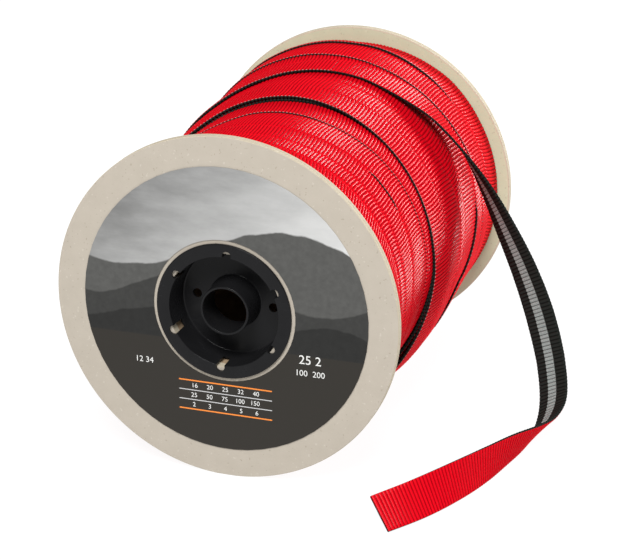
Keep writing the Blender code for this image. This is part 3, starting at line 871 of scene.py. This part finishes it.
# The loose end's middle: right of the axis, behind the board, its lowest point over the surface, the way its
# front edge points, and how far that edge is turned up, in degrees
LOOSE_COLUMNS = ("right", "behind", "low", "heading", "rise")
LOOSE_END = (
    (18.5, 199.5, 221.3, -94, -2),
    (41.0, 197.5, 215.7, -95, -1),
    (63.5, 195.0, 206.0, -95, 2),
    (85.0, 192.0, 189.5, -87, 12),
    (104.5, 188.5, 167.0, -77, 22),
    (122.0, 183.5, 143.0, -60, 28),
    (138.5, 177.0, 117.0, -43, 31),
    (154.5, 170.0, 90.0, -30, 31),
    (168.0, 161.5, 63.0, -22, 30),
    (178.5, 150.5, 36.5, -22, 30),
    (184.5, 135.0, 15.0, -22, 32),
    (184.0, 115.0, 4.0, -22, 44),
    (179.0, 94.0, 0.5, -21, 59),
    (171.0, 70.0, 0.0, -22, 76),
    (163.0, 47.0, 0.0, -22, 90),
    (153.5, 24.0, 0.0, -23, 103),
    (142.0, 1.0, 0.0, -25, 115),
    (130.0, -18.5, 0.0, -31, 126),
    (115.5, -38.0, 0.0, -38, 136),
)
ROW_STEPS = 10
OFF_SURFACE = 0.05
SETTLE_PASSES = 6


def smooth_rows(table, steps):
    """Rows between a table's rows, on a Catmull-Rom curve through them: a cubic that runs at each row as the
    rows on both sides of it do."""
    rows = np.array(table, float)
    ends = np.vstack([2 * rows[0] - rows[1], rows, 2 * rows[-1] - rows[-2]])
    t = np.linspace(0, 1, steps, endpoint=False)[None, :, None]
    p0, p1, p2, p3 = (ends[k:len(ends) - 3 + k, None, :] for k in range(4))
    curve = 0.5 * (2 * p1 + (p2 - p0) * t + (2 * p0 - 5 * p1 + 4 * p2 - p3) * t**2
                   + (3 * p1 - p0 - 3 * p2 + p3) * t**3)
    return np.vstack([curve.reshape(-1, rows.shape[1]), rows[-1:]])


row = dict(zip(LOOSE_COLUMNS, smooth_rows(LOOSE_END, ROW_STEPS).T))
low = np.maximum(row["low"], OFF_SURFACE)
heading, rise = np.radians(row["heading"]), np.radians(row["rise"])
middle = np.stack([row["right"], row["behind"], low + WEB_W / 2 * np.abs(np.sin(rise))], axis=1)
wanted = np.stack([np.cos(rise) * np.cos(heading), np.cos(rise) * np.sin(heading), np.sin(rise)], axis=1)
for _ in range(SETTLE_PASSES):
    run = np.gradient(middle, axis=0)
    run /= np.linalg.norm(run, axis=1, keepdims=True)
    forward = wanted - (wanted * run).sum(axis=1, keepdims=True) * run
    forward /= np.linalg.norm(forward, axis=1, keepdims=True)
    through = np.cross(run, forward)
    corners = np.stack([middle + s * forward * WEB_W / 2 + t * through * WEB_T / 2
                        for s, t in ((1, 1), (1, -1), (-1, -1), (-1, 1))], axis=1)
    middle[:, 2] += low - corners[:, :, 2].min(axis=1)
middle[:, 2] -= AXIS_Z
loose_face = -through
loose_front = middle + forward * WEB_W / 2 + loose_face * WEB_T / 2
loose_rear = middle - forward * WEB_W / 2 + loose_face * WEB_T / 2

last_row = dict(zip(LAST_COLUMNS, np.array(LAST_TURN).T))
last_angle = np.arange(-180.0, 0.5, 1.0)
last_y, last_r = (np.interp(last_angle, last_row["around"], last_row[column]) for column in LAST_COLUMNS[1:])
turn_front = np.stack([last_angle, last_r, last_y], axis=1)
turn_rear = np.stack([last_angle, last_r + REAR_EDGE_UP, last_y + WEB_W], axis=1)
turn_face = ring_point(last_angle, 1.0, 0.0 * last_angle)
join = len(last_angle)
BLEND_PASSES = 60
BLEND_FROM = join - 12
BLEND_TO = join + 6


def round_axis(path):
    """Points as (angle, radius, behind) about the axis, the angle growing past 180."""
    right, behind, up = path.T
    return np.stack([np.degrees(np.unwrap(np.arctan2(right, up))), np.hypot(right, up), behind], axis=1)


def blended(path):
    """A path smoothed by averaging neighbours near the place where its two parts join."""
    out = path.copy()
    for _ in range(BLEND_PASSES):
        out[BLEND_FROM:BLEND_TO] = (out[BLEND_FROM - 1:BLEND_TO - 1] + out[BLEND_FROM + 1:BLEND_TO + 1]) / 2
    return out


strip_front = ring_point(*blended(np.vstack([turn_front, round_axis(loose_front)])).T)
strip_rear = ring_point(*blended(np.vstack([turn_rear, round_axis(loose_rear)])).T)
strip_face = blended(np.vstack([turn_face, loose_face]))
strip_middle = (strip_front + strip_rear) / 2
strip_length = np.r_[0.0, np.cumsum(np.linalg.norm(np.diff(strip_middle, axis=0), axis=1))]
strip_ribs = int(round(strip_length[-1] / RIB))
LEAN_GONE = join + 40
strip_lean = np.interp(strip_length, strip_length[[join - 1, LEAN_GONE]], (LAST_LEAN, 0.0))
cut_column = int(round(strip_length[join - 1] / strip_length[-1] * strip_ribs)) * RIB_STEPS
strip = (strip_front, strip_rear, strip_face, strip_lean, strip_ribs, False)
wound.append(ribbed_strip("turn_11_last", *strip, last=cut_column))
loose = ribbed_strip("webbing_loose_end", *strip, corner="red", first=cut_column, last=strip_ribs * RIB_STEPS)
for turn in wound:
    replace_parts(turn, "winding")
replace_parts(loose, "loose_end")
